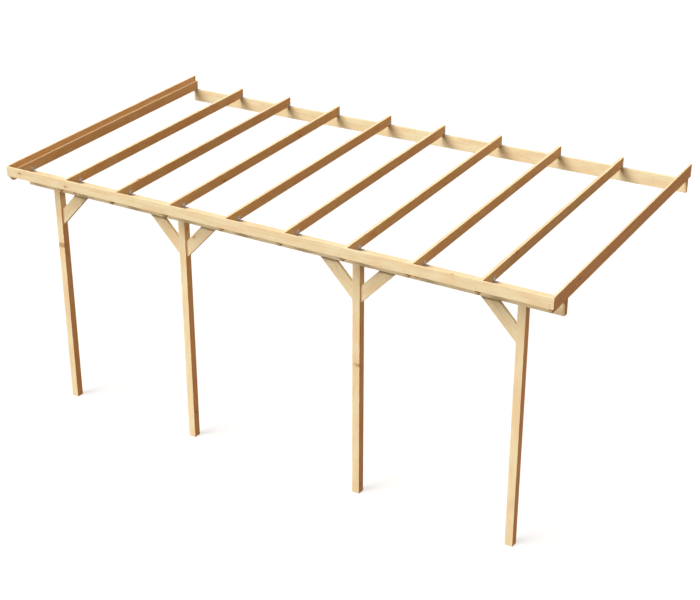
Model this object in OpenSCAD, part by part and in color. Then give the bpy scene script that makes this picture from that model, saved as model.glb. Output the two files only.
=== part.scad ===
// Wall-mounted pergola: an open timber frame of sloping rafters, carried by a
// ledger bolted to a wall and by a front beam on four braced posts.
// +X runs along the wall to the right as seen from the garden, +Y points into
// the wall and +Z is up. The origin is the middle of the ledger's wall face.

/* [Overall] */
// Height of the front beam's underside above the ground
clear_height = 2125; // [1700:5:2600]
// Distance from the wall to the front faces of the posts
depth = 2480; // [1800:10:3200]
// How far the rafters run on in front of the posts
eaves = 228; // [150:2:400]
// Slope of the rafters in degrees
slope = 5.25; // [2:0.25:12]

/* [Posts] */
// Side of a square post
post_size = 70; // [60:5:100]
// Distance from an end of the front beam to the middle of the nearest post
post_inset = 344; // [120:4:500]

/* [Front beam and ledger] */
// Thickness of the front beam
beam_t = 45; // [40:1:60]
// Height of the front beam
beam_h = 130; // [100:5:180]
// Thickness of the ledger on the wall
ledger_t = 28; // [24:1:45]
// Height of the ledger
ledger_h = 120; // [100:5:180]

/* [Rafters] */
// Distance between the middles of two neighbouring rafters
rafter_gap = 600; // [480:5:750]
// Thickness of a rafter
rafter_t = 28; // [24:1:45]
// Height of a rafter, square to its slope
rafter_h = 90; // [80:5:120]
// Corner taken off the lower end of each rafter
tail_cut = 14; // [8:2:40]

/* [Edge boards] */
// Thickness of the edge boards
board_t = 18; // [15:1:25]
// Height of the fascia board across the rafter ends
fascia_h = 90; // [80:5:110]
// Height of the two verge boards, square to the slope
verge_h = 115; // [100:5:130]
// How far the fascia board stands above the rafters
fascia_rise = 43; // [20:1:60]
// How far the verge boards stand above the rafters
verge_rise = 50; // [20:1:60]

/* [Braces] */
// Thickness of a knee brace
brace_t = 28; // [24:1:40]
// Width of a knee brace
brace_w = 105; // [80:5:120]
// Length of a brace's foot down the post and of its head along the beam
brace_reach = 330; // [250:5:400]

/* [Angle brackets] */
// Length of each leg of an angle bracket
bracket_leg = 40; // [30:1:50]
// Thickness of the bracket's sheet steel
bracket_t = 2.5; // [2:0.5:4]
// Width of a bracket on the front beam
beam_bracket_w = 38; // [25:1:40]
// Width of a bracket on the ledger
ledger_bracket_w = 24; // [18:1:24]

/* [Hidden] */
POSTS = 4;
RAFTERS = 10;

// A small length by which cutting shapes pass through what they cut.
through = 1;

// The inner posts stand under this rafter, counted in from each side.
INNER_POST_RAFTER = 4;

// The plan: how far each piece reaches along X and Y.
half_span = rafter_gap * (RAFTERS - 1) / 2;
half_frame = half_span + rafter_t / 2;
outer_post_x = half_frame - post_inset;
inner_post_x = -rafter_x(INNER_POST_RAFTER);
POST_X = [-outer_post_x, -inner_post_x, inner_post_x, outer_post_x];
front_y = -depth;
beam_back_y = front_y + beam_t;
tail_y = front_y - eaves;

// Heights above the ground, and the boards' heights measured plumb.
beam_top = clear_height + beam_h;
rafter_plumb = rafter_h / cos(slope);
verge_plumb = verge_h / cos(slope);
ledger_top = under_side(0);
ground_z = ledger_h / 2 - ledger_top;
fascia_top = top_side(tail_y - board_t) + fascia_rise;

// How much of a brace's end stands against the post or the beam.
brace_cut = brace_w / cos(45);

pine = "burlywood";
zinc = "silver";

// Height of the rafters' lower edge at a distance y from the wall.
function under_side(y) = beam_top + (y - beam_back_y) * tan(slope);

// Height of the rafters' upper edge at a distance y from the wall.
function top_side(y) = under_side(y) + rafter_plumb;

// Middle of a rafter along X, with the leftmost as number 1.
function rafter_x(number) = (number - 1) * rafter_gap - half_span;

// A piece placed by its height above the ground.
module above_ground() {
    translate([0, 0, ground_z]) children();
}

// A board lying in a plane across X, drawn as [y, z] points, with its
// thickness running towards +X from the given x.
module cross_board(x, thickness, points) {
    translate([x, 0, 0])
        rotate([90, 0, 90])
            linear_extrude(height = thickness) polygon(points);
}

module post(number) {
    color(pine)
        above_ground()
            translate([POST_X[number - 1] - post_size / 2, front_y, 0])
                cube([post_size, post_size, clear_height]);
}

module front_beam() {
    color(pine)
        above_ground()
            translate([-half_frame, front_y, clear_height])
                cube([2 * half_frame, beam_t, beam_h]);
}

module wall_ledger() {
    color(pine)
        above_ground()
            translate([-half_frame, -ledger_t, ledger_top - ledger_h])
                cube([2 * half_frame, ledger_t, ledger_h]);
}

// The outline of a rafter seen from its side, before it is notched.
function rafter_outline() = [
    [0, under_side(0)],
    [0, top_side(0)],
    [tail_y, top_side(tail_y)],
    [tail_y, under_side(tail_y) + tail_cut],
    [tail_y + tail_cut, under_side(tail_y + tail_cut)]
];

// A rafter, notched to sit level on the whole thickness of the front beam
// and of the ledger.
module rafter(number) {
    left_x = rafter_x(number) - rafter_t / 2;
    notch_w = rafter_t + 2 * through;
    color(pine)
        above_ground()
            difference() {
                cross_board(left_x, rafter_t, rafter_outline());
                translate([left_x - through, front_y, beam_top - beam_h])
                    cube([notch_w, beam_t, beam_h]);
                translate([left_x - through, -ledger_t, ledger_top - ledger_h])
                    cube([notch_w, ledger_t + through, ledger_h]);
            }
}

module front_fascia() {
    color(pine)
        above_ground()
            translate([-half_frame - board_t, tail_y - board_t, fascia_top - fascia_h])
                cube([2 * (half_frame + board_t), board_t, fascia_h]);
}

// One side board, against the outer face of an end rafter.
module verge_board(x) {
    high = verge_rise;
    low = verge_rise - verge_plumb;
    color(pine)
        above_ground()
            cross_board(x, board_t, [
                [0, top_side(0) + low],
                [0, top_side(0) + high],
                [tail_y, top_side(tail_y) + high],
                [tail_y, top_side(tail_y) + low]
            ]);
}

// One 45 degree brace from a post's side face up to the beam's underside.
// side is 1 for a brace on the post's right and -1 for one on its left.
module brace(number, side) {
    post_face = POST_X[number - 1] + side * post_size / 2;
    color(pine)
        above_ground()
            translate([post_face, beam_back_y, clear_height])
                rotate([90, 0, 0])
                    linear_extrude(height = brace_t)
                        polygon([
                            [0, -brace_reach],
                            [0, brace_cut - brace_reach],
                            [side * (brace_reach - brace_cut), 0],
                            [side * brace_reach, 0]
                        ]);
}

// An angle bracket with one leg flat on a level top and the other up the
// side of a rafter, with the corner between its outer faces at the origin.
module angle_bracket(width) {
    translate([0, -width / 2, 0]) {
        cube([bracket_leg, width, bracket_t]);
        cube([bracket_t, width, bracket_leg]);
    }
}

// One bracket beside every rafter, at a given y and height. The last rafter
// stands at the end of the timber below, so its bracket is on its left side.
module bracket_row(width, y, height) {
    color(zinc)
        above_ground()
            for (number = [1:RAFTERS]) {
                side = number < RAFTERS ? 1 : -1;
                translate([rafter_x(number) + side * rafter_t / 2, y, height])
                    rotate([0, 0, side > 0 ? 0 : 180])
                        angle_bracket(width);
            }
}

module beam_brackets() {
    bracket_row(beam_bracket_w, front_y + beam_t / 2, beam_top);
}

module ledger_brackets() {
    bracket_row(ledger_bracket_w, -ledger_t / 2, ledger_top);
}

for (i = [1:POSTS]) {
    post(i);
}
front_beam();
wall_ledger();
for (i = [1:RAFTERS]) {
    rafter(i);
}
front_fascia();
verge_board(-half_frame - board_t);  // verge_board_left
verge_board(half_frame);  // verge_board_right
brace(1, 1);  // brace_1_right
brace(2, -1);  // brace_2_left
brace(2, 1);  // brace_2_right
brace(3, -1);  // brace_3_left
brace(3, 1);  // brace_3_right
brace(4, -1);  // brace_4_left
beam_brackets();
ledger_brackets();
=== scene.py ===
"""The looks of a wall-mounted pergola: pale planed pine, with zinc coated brackets and screws.

Metres, +X along the wall to the right, +Y into the wall, +Z up, with the origin on the wall.
"""

import math
import random

import bmesh
import bpy
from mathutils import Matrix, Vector


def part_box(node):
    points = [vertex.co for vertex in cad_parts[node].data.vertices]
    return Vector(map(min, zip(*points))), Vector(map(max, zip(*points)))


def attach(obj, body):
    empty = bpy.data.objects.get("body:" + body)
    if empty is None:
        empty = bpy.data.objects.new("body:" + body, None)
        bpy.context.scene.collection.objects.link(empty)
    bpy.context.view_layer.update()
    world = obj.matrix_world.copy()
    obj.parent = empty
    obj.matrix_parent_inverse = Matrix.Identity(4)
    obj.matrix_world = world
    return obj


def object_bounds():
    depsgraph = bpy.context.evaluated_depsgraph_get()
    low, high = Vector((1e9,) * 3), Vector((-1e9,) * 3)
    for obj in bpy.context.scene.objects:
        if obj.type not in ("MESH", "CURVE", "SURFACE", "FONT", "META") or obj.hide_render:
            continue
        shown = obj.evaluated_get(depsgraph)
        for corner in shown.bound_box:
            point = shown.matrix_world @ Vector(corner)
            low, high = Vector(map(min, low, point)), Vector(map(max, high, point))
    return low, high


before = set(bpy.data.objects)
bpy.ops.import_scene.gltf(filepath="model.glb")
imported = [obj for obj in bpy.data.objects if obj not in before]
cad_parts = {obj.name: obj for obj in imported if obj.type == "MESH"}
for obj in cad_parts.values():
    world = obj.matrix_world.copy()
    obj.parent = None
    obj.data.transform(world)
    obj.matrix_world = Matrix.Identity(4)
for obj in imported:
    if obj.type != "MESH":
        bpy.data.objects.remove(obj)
cad_low, cad_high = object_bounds()
chance = random.Random(27)

MM = 0.001
POSTS = 4
RAFTERS = 10
BRACES = {
    "brace_1_right": 1,
    "brace_2_left": -1,
    "brace_2_right": 1,
    "brace_3_left": -1,
    "brace_3_right": 1,
    "brace_4_left": -1,
}
SLOPE = math.radians(5.25)
BOARD_EASING = 1.8 * MM
BRACKET_EASING = 0.5 * MM
RAFTER_HEIGHT = 90 * MM
VERGE_HEIGHT = 115 * MM
BRACE_WIDTH = 105 * MM

ALONG_WALL = Vector((1, 0, 0))
TO_WALL = Vector((0, 1, 0))
UP = Vector((0, 0, 1))
DOWN_SLOPE = Vector((0, math.cos(SLOPE), math.sin(SLOPE)))

# The camera stands in the garden, to the right of the frame and above it.
CAMERA_PLACE = (6.293, -10.906, 3.833)
CAMERA_TURN = 32.93
CAMERA_DIP = 23.90
CAMERA_ROLL = -0.07
CAMERA_LENS = 69.6

# Each lamp shines from a direction: the key from the left, in front and above, the fill from
# the right, and the weak back lamp from behind the wall.
KEY_FROM = Vector((-0.40, -0.72, 0.83))
KEY_STRENGTH = 4.5
KEY_SPREAD = 44.0
KEY_COLOUR = (1.0, 0.985, 0.95)
FILL_FROM = Vector((0.95, -0.20, 0.22))
FILL_STRENGTH = 1.12
FILL_SPREAD = 60.0
FILL_COLOUR = (1.0, 0.36, 0.08)
BACK_FROM = Vector((-0.25, 0.95, 0.12))
BACK_STRENGTH = 1.3
BACK_SPREAD = 50.0
BACK_COLOUR = (1.0, 0.94, 0.86)
SKY_STRENGTH = 0.07
SKY_COLOUR = (1.0, 0.85, 0.64, 1)
FLOOR_SIZE = 160
FLOOR_DROP = 0.2 * MM
FLOOR_GLOW = 0.70
FLOOR_SHADE = 0.34
FLOOR_BOUNCE = (0.06, 0.05, 0.035, 1)

# Colours of the timber and the steel, as shares of red, green and blue.
EARLY_WOOD = (0.85, 0.73, 0.48, 1)
LATE_WOOD = (0.73, 0.53, 0.27, 1)
ROSY_WOOD = (0.83, 0.63, 0.38, 1)
STRAW_WOOD = (0.86, 0.77, 0.51, 1)
KNOT_HEART = (0.42, 0.22, 0.095, 1)
KNOT_RIM = (0.55, 0.33, 0.15, 1)
END_GRAIN = (0.66, 0.47, 0.26, 1)
BRASSY = (0.74, 0.60, 0.34, 1)
BRASSY_DULL = (0.56, 0.43, 0.23, 1)
ZINC_PALE = (0.52, 0.50, 0.46, 1)
ZINC_GREY = (0.34, 0.33, 0.31, 1)

# Screws: the radius of their heads, how deep they sit and where they go.
WOOD_HEAD = 4.4 * MM
HEAD_SUNK = 0.5 * MM
HOLE_DEPTH = 2.2 * MM
HOLE_REACH = 4.0 * MM
HOLE_GAP = 0.35 * MM
BRACKET_HEAD = 3.8 * MM
BRACKET_DOME = 1.2 * MM
BRACKET_PLATE = 2.5 * MM
BRACKET_SCREWS = (15 * MM, 31 * MM)
FASCIA_SCREWS = (0.22, 0.43)
VERGE_SCREWS = 6
VERGE_END = 90 * MM
VERGE_DROPS = (26 * MM, 66 * MM)
BRACE_REACH = 130 * MM
BRACE_SPREAD = 24 * MM
BEAM_SPREAD = 14 * MM
BEAM_RISE = 22 * MM
LEDGER_SCREWS = (0.28, 0.72)
RING_STEPS = 24

# Growth rings and knots, and how often each mark of the timber comes along its grain and across it.
RING_SPACING = 4.4 * MM
KNOT_SPACING = 0.30
KNOT_BAND = 0.14
KNOT_FREE = 0.74
WEAR_WIDTH = 4 * MM
SCUFFS = (22.0, 160.0, 160.0)
PATCHES = (4.6, 15.0, 15.0)
STREAKS = (1.6, 95.0, 95.0)
FIBRES = (26.0, 1300.0, 1300.0)
CRACKS = (2.6, 260.0, 260.0)
CRACKED_SPOTS = (3.2, 12.0, 12.0)
PINE_BUMP = 0.45
PINE_RELIEF = 0.6 * MM
ZINC_BUMP = 0.2
ZINC_RELIEF = 0.1 * MM


# ---------------------------------------------------------------- wiring

class Wiring:
    """Short ways to add nodes to one tree and link them."""

    def __init__(self, tree):
        self.tree = tree

    def put(self, socket, value):
        if isinstance(value, bpy.types.NodeSocket):
            self.tree.links.new(value, socket)
        else:
            socket.default_value = value

    def fill(self, node, values):
        for socket, value in zip(node.inputs, values):
            self.put(socket, value)
        return node

    def math(self, operation, *values):
        node = self.tree.nodes.new("ShaderNodeMath")
        node.operation = operation
        return self.fill(node, values).outputs[0]

    def vector(self, operation, *values):
        node = self.tree.nodes.new("ShaderNodeVectorMath")
        node.operation = operation
        self.fill(node, values)
        return node.outputs["Value" if operation == "DOT_PRODUCT" else "Vector"]

    def split(self, vector):
        return self.fill(self.tree.nodes.new("ShaderNodeSeparateXYZ"), [vector]).outputs

    def join(self, x, y, z):
        return self.fill(self.tree.nodes.new("ShaderNodeCombineXYZ"), [x, y, z]).outputs[0]

    def noise(self, vector, detail=2.0, roughness=0.5):
        node = self.tree.nodes.new("ShaderNodeTexNoise")
        self.put(node.inputs["Vector"], vector)
        self.put(node.inputs["Scale"], 1.0)
        self.put(node.inputs["Detail"], detail)
        self.put(node.inputs["Roughness"], roughness)
        return node.outputs["Fac"]

    def cells(self, vector, dimensions="3D"):
        node = self.tree.nodes.new("ShaderNodeTexVoronoi")
        node.voronoi_dimensions = dimensions
        self.put(node.inputs["Vector"], vector)
        self.put(node.inputs["Scale"], 1.0)
        return node.outputs

    def between(self, value, low, high, to_low=0.0, to_high=1.0):
        node = self.tree.nodes.new("ShaderNodeMapRange")
        node.interpolation_type = "SMOOTHSTEP"
        return self.fill(node, (value, low, high, to_low, to_high)).outputs[0]

    def mix(self, amount, first, second):
        node = self.tree.nodes.new("ShaderNodeMix")
        node.data_type = "RGBA"
        colours = [s for s in node.inputs if s.type == "RGBA"]
        self.put(node.inputs[0], amount)
        self.put(colours[0], first)
        self.put(colours[1], second)
        return next(s for s in node.outputs if s.type == "RGBA")

    def brighten(self, colour, value):
        node = self.tree.nodes.new("ShaderNodeHueSaturation")
        self.put(node.inputs["Color"], colour)
        self.put(node.inputs["Value"], value)
        return node.outputs[0]

    def use(self, group, values):
        node = self.tree.nodes.new("ShaderNodeGroup")
        node.node_tree = group
        for name, value in values.items():
            self.put(node.inputs[name], value)
        return node.outputs


def new_group(name, inputs, outputs):
    """A shader node group with its wiring, its inputs as its nodes see them, and its outputs."""
    group = bpy.data.node_groups.new(name, "ShaderNodeTree")
    kinds = {"vector": "NodeSocketVector", "value": "NodeSocketFloat", "colour": "NodeSocketColor"}
    for socket, kind in inputs.items():
        group.interface.new_socket(socket, in_out="INPUT", socket_type=kinds[kind])
    for socket, kind in outputs.items():
        group.interface.new_socket(socket, in_out="OUTPUT", socket_type=kinds[kind])
    start = group.nodes.new("NodeGroupInput")
    end = group.nodes.new("NodeGroupOutput")
    return group, Wiring(group), start.outputs, end.inputs


# ---------------------------------------------------------------- node groups

def make_board_place():
    """Turns a place on the pergola into one on its board: along the grain, across its side, and up."""
    group, w, given, made = new_group(
        "board_place",
        {"Position": "vector", "Middle": "vector", "Along": "vector", "Side": "vector"},
        {"Place": "vector"},
    )
    offset = w.vector("SUBTRACT", given["Position"], given["Middle"])
    third = w.vector("CROSS_PRODUCT", given["Along"], given["Side"])
    along = w.vector("DOT_PRODUCT", offset, given["Along"])
    across = w.vector("DOT_PRODUCT", offset, given["Side"])
    up = w.vector("DOT_PRODUCT", offset, third)
    w.put(made["Place"], w.join(along, across, up))
    return group


def make_growth_rings():
    """Rings round a heart that lies beyond one side of the board, and branches that grow out from it."""
    group, w, given, made = new_group(
        "growth_rings",
        {"Place": "vector", "Half Size": "vector", "Seed": "value"},
        {"Late Wood": "value", "Knot": "value", "Knot Rim": "value", "Swirl": "value"},
    )
    seed = given["Seed"]
    along, across, up = w.split(given["Place"])
    depth = w.math("MULTIPLY_ADD", w.math("FRACT", w.math("MULTIPLY", seed, 3.7)), 0.045, 0.012)
    half_across = w.split(given["Half Size"])[1]
    from_heart = w.math("ADD", w.math("ADD", across, half_across), depth)
    lean = w.math("MULTIPLY", w.math("SINE", w.math("MULTIPLY", seed, 9.1)), 0.022)
    wander = w.noise(w.join(w.math("MULTIPLY_ADD", along, 0.9, seed), seed, 0.0), 1.0)
    lean = w.math("MULTIPLY_ADD", w.math("SUBTRACT", wander, 0.5), 0.07, lean)
    sideways = w.math("SUBTRACT", up, lean)
    radius = w.math("SQRT", w.math("ADD", w.math("POWER", from_heart, 2), w.math("POWER", sideways, 2)))
    girth = w.math("MULTIPLY", w.math("ARCTAN2", sideways, from_heart), radius)

    knot_along = w.math("MULTIPLY_ADD", along, 1 / KNOT_SPACING, w.math("MULTIPLY", seed, 5.3))
    knot_round = w.math("MULTIPLY_ADD", girth, 1 / KNOT_BAND, w.math("MULTIPLY", seed, 2.9))
    branch = w.cells(w.join(knot_along, knot_round, 0.0), "2D")
    draw = w.split(branch["Color"])
    present = w.math("GREATER_THAN", draw[0], KNOT_FREE)
    size = w.math("MULTIPLY_ADD", draw[1], 0.055, 0.028)
    past = w.math("SUBTRACT", branch["Distance"], size)
    knot = w.math("MULTIPLY", w.between(past, 0.0, -0.016), present)
    ring = w.math("MULTIPLY", w.between(past, 0.03, 0.0), present)
    swirl = w.math("MULTIPLY", w.between(branch["Distance"], 0.34, 0.04), present)

    drift = w.noise(w.join(w.math("MULTIPLY_ADD", along, 1.3, seed), w.math("MULTIPLY", up, 5), seed), 2.0)
    bent = w.math("MULTIPLY_ADD", w.math("SUBTRACT", drift, 0.5), 0.016, radius)
    bent = w.math("MULTIPLY_ADD", swirl, -0.007, bent)
    year = w.math("MULTIPLY", bent, 2 * math.pi / RING_SPACING)
    wave = w.math("MULTIPLY_ADD", w.math("SINE", year), 0.5, 0.5)
    strength = w.noise(w.join(w.math("MULTIPLY", bent, 90), seed, 0.0), 1.0)
    late = w.math("MULTIPLY", w.between(wave, 0.45, 0.98), w.between(strength, 0.25, 0.7, 0.35, 1.0))
    w.put(made["Late Wood"], late)
    w.put(made["Knot"], knot)
    w.put(made["Knot Rim"], ring)
    w.put(made["Swirl"], swirl)
    return group


def make_edge_wear():
    """How near a place is to one of its board's four long arrises, from 0 to 1."""
    group, w, given, made = new_group(
        "edge_wear",
        {"Place": "vector", "Half Size": "vector", "Width": "value"},
        {"Wear": "value"},
    )
    _, across, up = w.split(given["Place"])
    _, half_across, half_up = w.split(given["Half Size"])
    from_side = w.math("SUBTRACT", half_across, w.math("ABSOLUTE", across))
    from_edge = w.math("SUBTRACT", half_up, w.math("ABSOLUTE", up))
    nearest = w.math("MAXIMUM", from_side, from_edge)
    scuff = w.noise(w.vector("MULTIPLY", given["Place"], SCUFFS), 3.0)
    near = w.between(nearest, given["Width"], 0.0)
    w.put(made["Wear"], w.math("MULTIPLY", near, w.between(scuff, 0.35, 0.7, 0.25, 1.0)))
    return group


def make_pine_finish():
    """Colour, roughness and height of planed pine at a place on its board."""
    group, w, given, made = new_group(
        "pine_finish",
        {
            "Place": "vector",
            "Half Size": "vector",
            "Seed": "value",
            "Tone": "value",
            "End Grain": "value",
        },
        {"Color": "colour", "Roughness": "value", "Height": "value"},
    )
    rings = w.use(
        GROWTH_RINGS,
        {"Place": given["Place"], "Half Size": given["Half Size"], "Seed": given["Seed"]},
    )
    wear = w.use(
        EDGE_WEAR,
        {"Place": given["Place"], "Half Size": given["Half Size"], "Width": WEAR_WIDTH},
    )["Wear"]
    shift = w.vector("SCALE", (3.1, 1.7, 0.9))
    w.put(shift.node.inputs["Scale"], given["Seed"])
    place = w.vector("ADD", given["Place"], shift)
    patch = w.noise(w.vector("MULTIPLY", place, PATCHES), 2.0)
    streak = w.noise(w.vector("MULTIPLY", place, STREAKS), 3.0, 0.6)
    fibre = w.noise(w.vector("MULTIPLY", place, FIBRES), 2.0, 0.6)
    crack_line = w.noise(w.vector("MULTIPLY", place, CRACKS), 1.0)
    crack = w.between(w.math("ABSOLUTE", w.math("SUBTRACT", crack_line, 0.5)), 0.012, 0.0)
    crack_where = w.noise(w.vector("MULTIPLY", place, CRACKED_SPOTS), 1.0)
    crack = w.math("MULTIPLY", crack, w.between(crack_where, 0.60, 0.70))

    colour = w.mix(w.between(patch, 0.34, 0.66), STRAW_WOOD, ROSY_WOOD)
    colour = w.mix(0.30, colour, EARLY_WOOD)
    colour = w.mix(w.math("MULTIPLY", rings["Late Wood"], 0.55), colour, LATE_WOOD)
    colour = w.mix(w.between(streak, 0.52, 0.80, 0.0, 0.42), colour, LATE_WOOD)
    colour = w.mix(w.math("MULTIPLY", rings["Swirl"], 0.30), colour, LATE_WOOD)
    colour = w.mix(w.math("MULTIPLY", rings["Knot Rim"], 0.45), colour, KNOT_RIM)
    colour = w.mix(w.math("MULTIPLY", rings["Knot"], 0.62), colour, KNOT_HEART)
    colour = w.mix(w.math("MULTIPLY", crack, 0.45), colour, KNOT_RIM)
    colour = w.mix(w.math("MULTIPLY", given["End Grain"], 0.6), colour, END_GRAIN)
    colour = w.mix(w.math("MULTIPLY", wear, 0.22), colour, STRAW_WOOD)
    shade = w.math("MULTIPLY_ADD", w.math("SUBTRACT", fibre, 0.5), 0.14, given["Tone"])
    w.put(made["Color"], w.brighten(colour, shade))

    dull = w.math("MULTIPLY_ADD", streak, 0.16, 0.58)
    dull = w.math("MULTIPLY_ADD", rings["Knot"], -0.20, dull)
    w.put(made["Roughness"], w.math("MULTIPLY_ADD", given["End Grain"], 0.15, dull))

    height = w.math("MULTIPLY_ADD", fibre, 0.35, w.math("MULTIPLY", rings["Late Wood"], 0.30))
    height = w.math("MULTIPLY_ADD", rings["Knot"], 0.35, height)
    height = w.math("MULTIPLY_ADD", crack, -0.90, height)
    w.put(made["Height"], w.math("MULTIPLY_ADD", streak, 0.30, height))
    return group


def make_zinc_finish():
    """Colour, roughness and height of a zinc coat: small dull crystals with paler patches."""
    group, w, given, made = new_group(
        "zinc_finish",
        {
            "Position": "vector",
            "Crystal Size": "value",
            "Dullness": "value",
            "Pale": "colour",
            "Dark": "colour",
        },
        {"Color": "colour", "Roughness": "value", "Height": "value"},
    )
    closer = w.math("DIVIDE", 1.0, given["Crystal Size"])
    grown = w.vector("SCALE", given["Position"])
    w.put(grown.node.inputs["Scale"], closer)
    crystal = w.split(w.cells(grown)["Color"])[0]
    bloom = w.noise(w.vector("MULTIPLY", given["Position"], (70.0, 70.0, 70.0)), 3.0)
    pale = w.math("MULTIPLY_ADD", crystal, 0.45, w.between(bloom, 0.35, 0.75, 0.0, 0.55))
    w.put(made["Color"], w.mix(pale, given["Dark"], given["Pale"]))
    w.put(made["Roughness"], w.math("MULTIPLY_ADD", pale, 0.18, given["Dullness"]))
    w.put(made["Height"], w.math("MULTIPLY", crystal, 0.5))
    return group


BOARD_PLACE = make_board_place()
GROWTH_RINGS = make_growth_rings()
EDGE_WEAR = make_edge_wear()
PINE_FINISH = make_pine_finish()
ZINC_FINISH = make_zinc_finish()


# ---------------------------------------------------------------- materials

def new_material(name):
    """A material with its shader, its wiring and the place on the pergola."""
    material = bpy.data.materials.new(name)
    material.use_nodes = True
    w = Wiring(material.node_tree)
    shader = next(n for n in material.node_tree.nodes if n.type == "BSDF_PRINCIPLED")
    position = material.node_tree.nodes.new("ShaderNodeTexCoord").outputs["Object"]
    return material, w, shader, position


def finish_with(w, shader, made, strength, depth):
    """Feeds a finish group's colour, roughness and height to the shader."""
    bump = w.tree.nodes.new("ShaderNodeBump")
    bump.inputs["Strength"].default_value = strength
    bump.inputs["Distance"].default_value = depth
    w.put(bump.inputs["Height"], made["Height"])
    w.put(shader.inputs["Base Color"], made["Color"])
    w.put(shader.inputs["Roughness"], made["Roughness"])
    w.put(shader.inputs["Normal"], bump.outputs["Normal"])


def pine_board(name, middle, along, side, half, tone):
    """Pine for one board, whose middle, grain direction, side and half size are given."""
    material, w, shader, position = new_material("pine_" + name)
    place = w.use(
        BOARD_PLACE,
        {"Position": position, "Middle": middle, "Along": along, "Side": side},
    )["Place"]
    normal = w.tree.nodes.new("ShaderNodeNewGeometry").outputs["Normal"]
    facing = w.math("ABSOLUTE", w.vector("DOT_PRODUCT", normal, tuple(along)))
    made = w.use(
        PINE_FINISH,
        {
            "Place": place,
            "Half Size": half,
            "Seed": chance.uniform(1.0, 9.0),
            "Tone": tone,
            "End Grain": w.between(facing, 0.80, 0.93),
        },
    )
    finish_with(w, shader, made, PINE_BUMP, PINE_RELIEF)
    shader.inputs["Specular IOR Level"].default_value = 0.22
    return material


def zinc(name, crystal, dullness, dark, pale):
    """Zinc coated steel with crystals of the given size, in two tones."""
    material, w, shader, position = new_material(name)
    made = w.use(
        ZINC_FINISH,
        {
            "Position": position,
            "Crystal Size": crystal,
            "Dullness": dullness,
            "Dark": dark,
            "Pale": pale,
        },
    )
    finish_with(w, shader, made, ZINC_BUMP, ZINC_RELIEF)
    shader.inputs["Metallic"].default_value = 0.6
    return material


# ---------------------------------------------------------------- timber

def soften(node, width):
    """Joins the faces of a CAD piece and rounds its sharp edges a little."""
    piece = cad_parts[node]
    weld = piece.modifiers.new("joined_faces", "WELD")
    weld.merge_threshold = 0.02 * MM
    bevel = piece.modifiers.new("eased_edges", "BEVEL")
    bevel.width = width
    bevel.segments = 3
    bevel.limit_method = "ANGLE"
    bevel.angle_limit = math.radians(30)
    return piece


def brace_middle(name, rise):
    """The middle of a brace, which lies nearer the corner of post and beam than its box's middle."""
    low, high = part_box(name)
    along = Vector((rise, 0, 1)).normalized()
    across = Vector((along.z, 0, -along.x))
    return (low + high) / 2 - across * rise * BRACE_WIDTH / 2, along, across


def dress_board(node, along, side, size_up=None, middle=None, paler=0.0):
    """Gives one board its own pine, with the grain along it, and eases its edges."""
    low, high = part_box(node)
    middle = middle or (low + high) / 2
    side_half = abs((high - low).dot(side)) / 2
    third = along.cross(side)
    up_half = (size_up or abs((high - low).dot(third))) / 2
    along_half = abs((high - low).dot(along)) / 2
    tone = chance.uniform(0.95, 1.03) + paler
    half = (along_half, side_half, up_half)
    board = soften(node, BOARD_EASING)
    board.data.materials.clear()
    board.data.materials.append(pine_board(node, middle, along, side, half, tone))


def dress_timber():
    """Gives every board its pine: posts and braces are a little paler than the rest."""
    for number in range(1, POSTS + 1):
        dress_board(f"post_{number}", UP, ALONG_WALL, paler=0.05)
    for number in range(1, RAFTERS + 1):
        dress_board(f"rafter_{number}", DOWN_SLOPE, ALONG_WALL, RAFTER_HEIGHT)
    for name in ("verge_board_left", "verge_board_right"):
        dress_board(name, DOWN_SLOPE, ALONG_WALL, VERGE_HEIGHT)
    for name in ("front_beam", "wall_ledger", "front_fascia"):
        dress_board(name, ALONG_WALL, TO_WALL)
    for name, rise in BRACES.items():
        middle, along, _ = brace_middle(name, rise)
        dress_board(name, along, TO_WALL, BRACE_WIDTH, middle, paler=0.05)


# ---------------------------------------------------------------- fixings

def dress_brackets():
    """Gives the angle brackets their zinc coat."""
    steel = zinc("zinc_bracket", 3.5 * MM, 0.42, ZINC_GREY, ZINC_PALE)
    for name in ("beam_brackets", "ledger_brackets"):
        brackets = soften(name, BRACKET_EASING)
        brackets.data.materials.clear()
        brackets.data.materials.append(steel)


def ring(mesh, place, across, up, radius, lobes=0.0):
    """A closed ring of points round a place, with six lobes where a driver fits."""
    points = []
    for step in range(RING_STEPS):
        turn = 2 * math.pi * step / RING_STEPS
        reach = radius * (1 + lobes * math.cos(6 * turn))
        offset = across * math.cos(turn) * reach + up * math.sin(turn) * reach
        points.append(mesh.verts.new(place + offset))
    return points


def skin(mesh, rings):
    """Joins rings one to the next and closes both ends."""
    for first, second in zip(rings, rings[1:]):
        for step in range(RING_STEPS):
            after = (step + 1) % RING_STEPS
            mesh.faces.new((first[step], first[after], second[after], second[step]))
    mesh.faces.new(list(reversed(rings[0])))
    mesh.faces.new(rings[-1])


def face_axes(outward):
    """Two directions that lie in the face that looks outward."""
    across = outward.orthogonal().normalized()
    return across, outward.cross(across)


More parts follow.
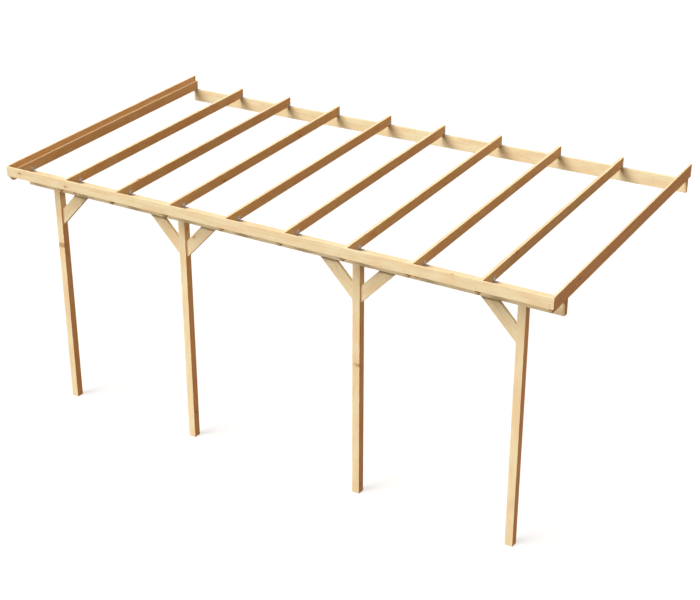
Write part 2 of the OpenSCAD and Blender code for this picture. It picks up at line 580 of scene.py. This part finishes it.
def add_screw(mesh, place, outward, head, dome):
    """One screw: its shank, its head with a rounded rim, and the socket for the driver."""
    across, up = face_axes(outward)
    turn = chance.uniform(0, math.pi / 3)
    turned = across * math.cos(turn) + up * math.sin(turn)
    upright = outward.cross(turned)
    profile = (
        (-2.6 * head, 0.42 * head, 0.0),
        (-0.9 * head, 0.46 * head, 0.0),
        (-0.35 * MM - 0.1 * head, 0.97 * head, 0.0),
        (-0.30 * MM, head, 0.0),
        (0.0, 0.93 * head, 0.0),
        (dome, 0.60 * head, 0.0),
        (dome, 0.42 * head, 0.16),
        (dome - 0.45 * head, 0.38 * head, 0.16),
    )
    rings = []
    for depth, radius, lobes in profile:
        rings.append(ring(mesh, place + outward * depth, turned, upright, radius, lobes))
    skin(mesh, rings)


def add_sinking(mesh, place, outward, head):
    """The shallow hole that a head sits in."""
    across, up = face_axes(outward)
    rings = []
    for depth in (-HOLE_DEPTH, HOLE_REACH):
        rings.append(ring(mesh, place + outward * depth, across, up, head + HOLE_GAP))
    skin(mesh, rings)


def make_object(name, mesh):
    """A Blender object from a bmesh, with its faces turned outwards."""
    bmesh.ops.recalc_face_normals(mesh, faces=mesh.faces)
    data = bpy.data.meshes.new(name)
    mesh.to_mesh(data)
    mesh.free()
    made = bpy.data.objects.new(name, data)
    bpy.context.scene.collection.objects.link(made)
    return made


def sink_screws(name, board, places, outward):
    """Screws whose heads sit just under the face of a board, in holes cut for them."""
    holes = bmesh.new()
    screws = bmesh.new()
    for place in places:
        add_sinking(holes, place, outward, WOOD_HEAD)
        add_screw(screws, place - outward * HEAD_SUNK, outward, WOOD_HEAD, 0.0)
    cutter = make_object(name + "_holes", holes)
    cutter.hide_render = True
    cutter.display_type = "WIRE"
    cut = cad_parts[board].modifiers.new(name + "_holes", "BOOLEAN")
    cut.operation = "DIFFERENCE"
    cut.solver = "EXACT"
    cut.object = cutter
    finish_screws(make_object(name, screws), BRASSY_STEEL)


def finish_screws(screws, material):
    """Gives a set of screws its steel, its smooth heads and its place in the table."""
    screws.data.materials.append(material)
    smooth = screws.modifiers.new("smooth_heads", "EDGE_SPLIT")
    smooth.split_angle = math.radians(35)
    for face in screws.data.polygons:
        face.use_smooth = True
    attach(screws, "root")


def roof_top(y):
    """Height of the rafters' upper edges at a distance from the wall."""
    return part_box("rafter_1")[1].z + y * math.tan(SLOPE)


def fix_fascia():
    """Two screws through the fascia into the end of every rafter."""
    low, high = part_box("front_fascia")
    places = []
    for number in range(1, RAFTERS + 1):
        rafter_low, rafter_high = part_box(f"rafter_{number}")
        x = (rafter_low.x + rafter_high.x) / 2
        for share in FASCIA_SCREWS:
            place_z = low.z + share * (high.z - low.z)
            places.append(Vector((x + chance.uniform(-2, 2) * MM, low.y, place_z)))
    sink_screws("fascia_screws", "front_fascia", places, -TO_WALL)


def fix_verges():
    """Pairs of screws through each verge board into its end rafter."""
    for side, name in ((-1, "verge_board_left"), (1, "verge_board_right")):
        low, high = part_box(name)
        x = high.x if side > 0 else low.x
        step = (high.y - low.y - 2 * VERGE_END) / (VERGE_SCREWS - 1)
        places = []
        for number in range(VERGE_SCREWS):
            y = low.y + VERGE_END + number * step
            for drop in VERGE_DROPS:
                z = roof_top(y) - drop + chance.uniform(-1.5, 1.5) * MM
                places.append(Vector((x, y, z)))
        sink_screws(name + "_screws", name, places, ALONG_WALL * side)


def fix_braces():
    """Two screws through each end of a brace: up into the beam and down into the post."""
    for name, rise in BRACES.items():
        middle, along, across = brace_middle(name, rise)
        middle.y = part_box(name)[0].y
        places = []
        for end in (-1, 1):
            for spread in (-BRACE_SPREAD, BRACE_SPREAD):
                places.append(middle + along * BRACE_REACH * end + across * spread)
        sink_screws(name + "_screws", name, places, -TO_WALL)


def fix_beam():
    """Two screws low in the beam's front, above each post."""
    low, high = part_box("front_beam")
    places = []
    for number in range(1, POSTS + 1):
        post_low, post_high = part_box(f"post_{number}")
        x = (post_low.x + post_high.x) / 2
        for offset in (-BEAM_SPREAD, BEAM_SPREAD):
            places.append(Vector((x + offset, low.y, low.z + BEAM_RISE)))
    sink_screws("beam_screws", "front_beam", places, -TO_WALL)


def fix_ledger():
    """Pairs of screws into the wall, halfway between the rafters."""
    low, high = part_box("wall_ledger")
    places = []
    for number in range(1, RAFTERS):
        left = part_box(f"rafter_{number}")
        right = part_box(f"rafter_{number + 1}")
        x = (left[0].x + right[1].x) / 2
        for share in LEDGER_SCREWS:
            z = low.z + share * (high.z - low.z)
            places.append(Vector((x + chance.uniform(-8, 8) * MM, low.y, z)))
    sink_screws("ledger_screws", "wall_ledger", places, -TO_WALL)


def fix_brackets():
    """Two screws in each leg of every angle bracket, on the beam and on the ledger."""
    screws = bmesh.new()
    for name in ("front_beam", "wall_ledger"):
        low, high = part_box(name)
        middle = (low.y + high.y) / 2
        for number in range(1, RAFTERS + 1):
            rafter_low, rafter_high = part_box(f"rafter_{number}")
            side = -1 if number == RAFTERS else 1
            face = rafter_low.x if side < 0 else rafter_high.x
            for along in BRACKET_SCREWS:
                on_beam = Vector((face + side * along, middle, high.z + BRACKET_PLATE))
                on_rafter = Vector((face + side * BRACKET_PLATE, middle, high.z + along))
                add_screw(screws, on_beam, UP, BRACKET_HEAD, BRACKET_DOME)
                add_screw(screws, on_rafter, ALONG_WALL * side, BRACKET_HEAD, BRACKET_DOME)
    pale = zinc("zinc_screw", 1.4 * MM, 0.34, ZINC_GREY, ZINC_PALE)
    finish_screws(make_object("bracket_screws", screws), pale)


# ---------------------------------------------------------------- set

def where_seen(w):
    """One for a ray that shows the set, straight or in steel, and nought for one that lights the timber."""
    path = w.tree.nodes.new("ShaderNodeLightPath").outputs
    seen = w.math("MAXIMUM", path["Is Camera Ray"], path["Is Glossy Ray"])
    return w.math("MAXIMUM", seen, path["Is Transmission Ray"])


def make_floor():
    """A wide pale floor at the posts' feet that keeps a soft shadow."""
    bpy.ops.mesh.primitive_plane_add(size=FLOOR_SIZE, location=(0, 0, cad_low.z - FLOOR_DROP))
    floor = bpy.context.object
    floor.name = "studio_floor"
    material = bpy.data.materials.new("studio_floor")
    material.use_nodes = True
    tree = material.node_tree
    tree.nodes.clear()
    w = Wiring(tree)
    seen = where_seen(w)
    matt = tree.nodes.new("ShaderNodeBsdfDiffuse")
    w.put(matt.inputs["Color"], w.mix(seen, FLOOR_BOUNCE, (FLOOR_SHADE,) * 3 + (1,)))
    glow = tree.nodes.new("ShaderNodeEmission")
    glow.inputs["Color"].default_value = (1, 1, 1, 1)
    w.put(glow.inputs["Strength"], w.math("MULTIPLY", seen, FLOOR_GLOW))
    both = tree.nodes.new("ShaderNodeAddShader")
    tree.links.new(matt.outputs[0], both.inputs[0])
    tree.links.new(glow.outputs[0], both.inputs[1])
    end = tree.nodes.new("ShaderNodeOutputMaterial")
    tree.links.new(both.outputs[0], end.inputs["Surface"])
    floor.data.materials.append(material)


def make_sky():
    """White where it is seen, and a faint warm light on the frame."""
    world = bpy.data.worlds.new("studio_sky")
    world.use_nodes = True
    tree = world.node_tree
    tree.nodes.clear()
    w = Wiring(tree)
    seen = where_seen(w)
    background = tree.nodes.new("ShaderNodeBackground")
    w.put(background.inputs["Color"], w.mix(seen, SKY_COLOUR, (1, 1, 1, 1)))
    strength = w.math("MULTIPLY_ADD", seen, 1 - SKY_STRENGTH, SKY_STRENGTH)
    w.put(background.inputs["Strength"], strength)
    end = tree.nodes.new("ShaderNodeOutputWorld")
    tree.links.new(background.outputs[0], end.inputs["Surface"])
    bpy.context.scene.world = world


def make_lamp(name, source, strength, spread, colour):
    """A distant lamp that shines from the given direction."""
    data = bpy.data.lights.new(name, "SUN")
    data.energy = strength
    data.angle = math.radians(spread)
    data.color = colour
    lamp = bpy.data.objects.new(name, data)
    bpy.context.scene.collection.objects.link(lamp)
    lamp.rotation_mode = "QUATERNION"
    lamp.rotation_quaternion = source.to_track_quat("Z", "Y")


def make_camera():
    """The camera in the garden."""
    data = bpy.data.cameras.new("garden_camera")
    data.lens = CAMERA_LENS
    data.clip_end = 200
    camera = bpy.data.objects.new("garden_camera", data)
    bpy.context.scene.collection.objects.link(camera)
    camera.location = CAMERA_PLACE
    camera.rotation_mode = "XYZ"
    camera.rotation_euler = (
        math.radians(90 - CAMERA_DIP),
        math.radians(CAMERA_ROLL),
        math.radians(CAMERA_TURN),
    )
    bpy.context.scene.camera = camera


BRASSY_STEEL = zinc("brassy_screw", 1.2 * MM, 0.36, BRASSY_DULL, BRASSY)
dress_timber()
dress_brackets()
fix_fascia()
fix_verges()
fix_braces()
fix_beam()
fix_ledger()
fix_brackets()
make_floor()
make_sky()
make_lamp("key_lamp", KEY_FROM, KEY_STRENGTH, KEY_SPREAD, KEY_COLOUR)
make_lamp("fill_lamp", FILL_FROM, FILL_STRENGTH, FILL_SPREAD, FILL_COLOUR)
make_lamp("back_lamp", BACK_FROM, BACK_STRENGTH, BACK_SPREAD, BACK_COLOUR)
make_camera()
bpy.context.scene.view_settings.view_transform = "Standard"
